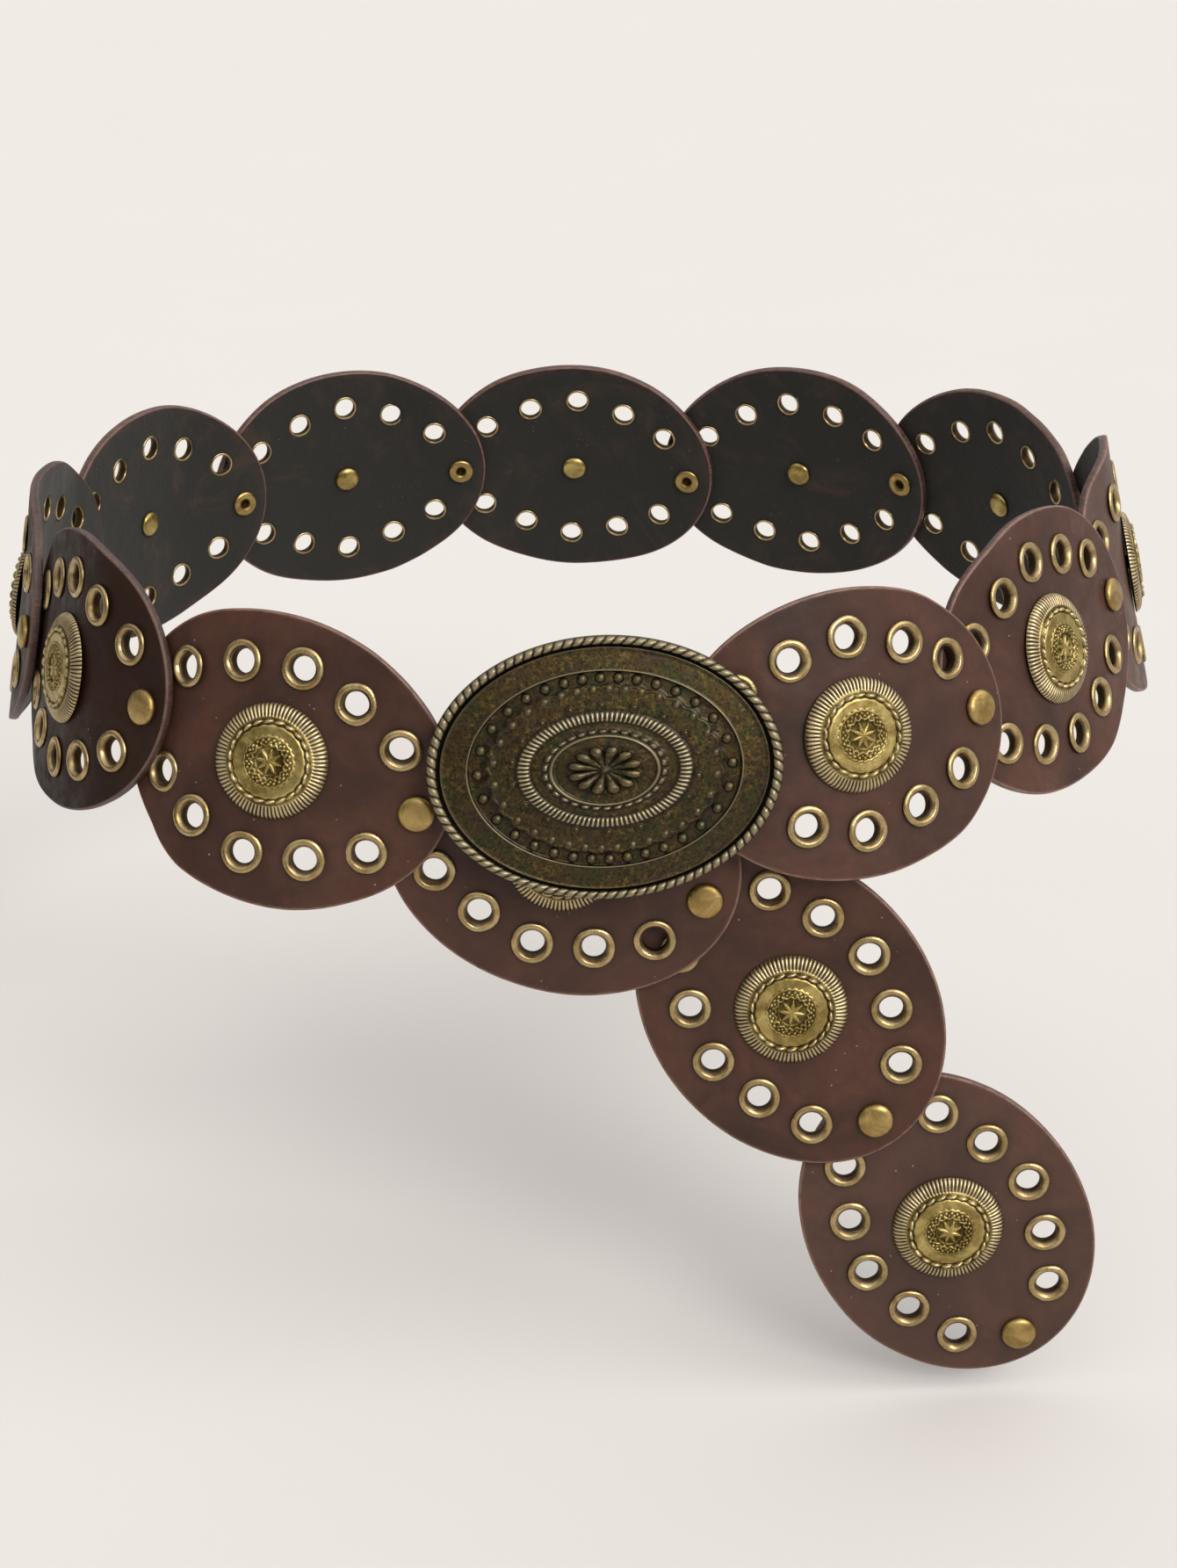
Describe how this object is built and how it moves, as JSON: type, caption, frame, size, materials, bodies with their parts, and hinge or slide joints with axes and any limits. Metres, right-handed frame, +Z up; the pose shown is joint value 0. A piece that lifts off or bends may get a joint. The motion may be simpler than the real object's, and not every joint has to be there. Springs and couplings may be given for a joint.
{
  "type": "boho concho belt",
  "caption": "Hip belt of oval leather discs riveted in a chain, each with brass grommets and a round concho, closed by an oval cast buckle, shown worn with its end hanging.",
  "frame": {"origin": "middle of the waist that the closed ring goes round, at the height of the discs' middles", "axes": "+X across the front towards the wearer's left, where the free end hangs, +Y from the buckle to the back, +Z up"},
  "size_m": [0.3041, 0.2605, 0.2045],
  "materials": {
    "leather": "smooth dark reddish brown face with lighter rubbed edges, near-black fibrous back",
    "brass": "antique brass, darkened in the recesses",
    "bronze": "dark mottled antique bronze with rubbed high points"
  },
  "bodies": {
    "root": {"disc_front_left": "leather", "concho_front_left": "brass", "rivet_front_left": "brass", "disc_side_left_front": "leather", "concho_side_left_front": "brass", "rivet_side_left_front": "brass", "disc_side_left": "leather", "concho_side_left": "brass", "rivet_side_left": "brass", "disc_back_left": "leather", "concho_back_left": "brass", "rivet_back_left": "brass", "disc_back_left_middle": "leather", "concho_back_left_middle": "brass", "rivet_back_left_middle": "brass", "disc_back_middle": "leather", "concho_back_middle": "brass", "rivet_back_middle": "brass", "disc_back_right_middle": "leather", "concho_back_right_middle": "brass", "rivet_back_right_middle": "brass", "disc_back_right": "leather", "concho_back_right": "brass", "rivet_back_right": "brass", "disc_side_right": "leather", "concho_side_right": "brass", "rivet_side_right": "brass", "disc_side_right_front": "leather", "concho_side_right_front": "brass", "rivet_side_right_front": "brass", "disc_front_right": "leather", "concho_front_right": "brass", "rivet_front_right": "brass", "disc_under_buckle": "leather", "concho_under_buckle": "brass", "rivet_under_buckle": "brass", "disc_tail_upper": "leather", "concho_tail_upper": "brass", "rivet_tail_upper": "brass", "disc_tail_end": "leather", "concho_tail_end": "brass", "rivet_tail_end": "brass", "buckle": "bronze"}
  },
  "joints": []
}
